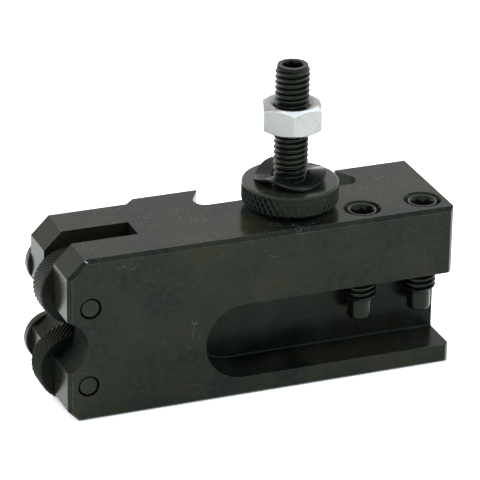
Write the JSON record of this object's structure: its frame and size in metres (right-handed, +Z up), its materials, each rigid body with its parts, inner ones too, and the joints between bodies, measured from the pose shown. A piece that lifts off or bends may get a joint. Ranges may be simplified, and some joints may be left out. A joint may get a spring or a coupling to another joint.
{
  "type": "knurling, turning and facing tool holder",
  "caption": "Tool holder for a quick change tool post: dovetail block with knurling wheels in its nose, a clamped tool slot in front, and a height stud with knurled nut and lock nut.",
  "frame": {"origin": "foot of the height stud's axis on the bottom face of the block", "axes": "+X along the block, away from the knurling nose; +Y towards the back, where the dovetail groove is; +Z up, along the height stud"},
  "size_m": [0.0737, 0.0225, 0.0562],
  "materials": {
    "black_oxide_body": "black oxide on milled steel, semi-gloss",
    "black_wheel": "black oxide on knurled steel, satin",
    "black_hardware": "oiled black oxide on threaded steel",
    "black_spring_steel": "glossy blackened spring steel",
    "bright_zinc": "bright zinc plating"
  },
  "bodies": {
    "holder": {"holder_body": "black_oxide_body", "knurl_axle_upper": "black_hardware", "knurl_axle_lower": "black_hardware", "height_stud": "black_hardware"},
    "upper_wheel": {"knurl_wheel_upper": "black_wheel"},
    "lower_wheel": {"knurl_wheel_lower": "black_wheel"},
    "washer": {"wave_washer": "black_spring_steel"},
    "height_nut": {"height_adjust_nut": "black_wheel"},
    "locking_nut": {"lock_nut": "bright_zinc"},
    "inner_clamp": {"clamp_screw_inner": "black_hardware"},
    "outer_clamp": {"clamp_screw_outer": "black_hardware"}
  },
  "joints": [
    {"name": "upper_wheel_spin", "type": "hinge", "parent": "holder", "child": "upper_wheel", "pos_m": [-0.04015, 0, 0.021], "axis": [0, 1, 0], "continuous": true},
    {"name": "lower_wheel_spin", "type": "hinge", "parent": "holder", "child": "lower_wheel", "pos_m": [-0.04055, 0, 0.00645], "axis": [0, 1, 0], "continuous": true},
    {"name": "height_nut_travel", "type": "slide", "parent": "holder", "child": "washer", "axis": [0, 0, 1], "range_m": [-0.0007, 0.0035]},
    {"name": "height_nut_turn", "type": "hinge", "parent": "washer", "child": "height_nut", "pos_m": [0, 0, 0.0328], "axis": [0, 0, 1], "range_deg": [-252, 1260]},
    {"name": "lock_nut_travel", "type": "slide", "parent": "holder", "child": "locking_nut", "axis": [0, 0, 1], "range_m": [-0.0035, 0.0065]},
    {"name": "inner_clamp_travel", "type": "slide", "parent": "holder", "child": "inner_clamp", "axis": [0, 0, 1], "range_m": [-0.0058, 0.008]},
    {"name": "outer_clamp_travel", "type": "slide", "parent": "holder", "child": "outer_clamp", "axis": [0, 0, 1], "range_m": [-0.0058, 0.008]}
  ],
  "couplings": [
    {"joint": "height_nut_travel", "follows": "height_nut_turn", "m_per_rad": 0.00015915}
  ]
}
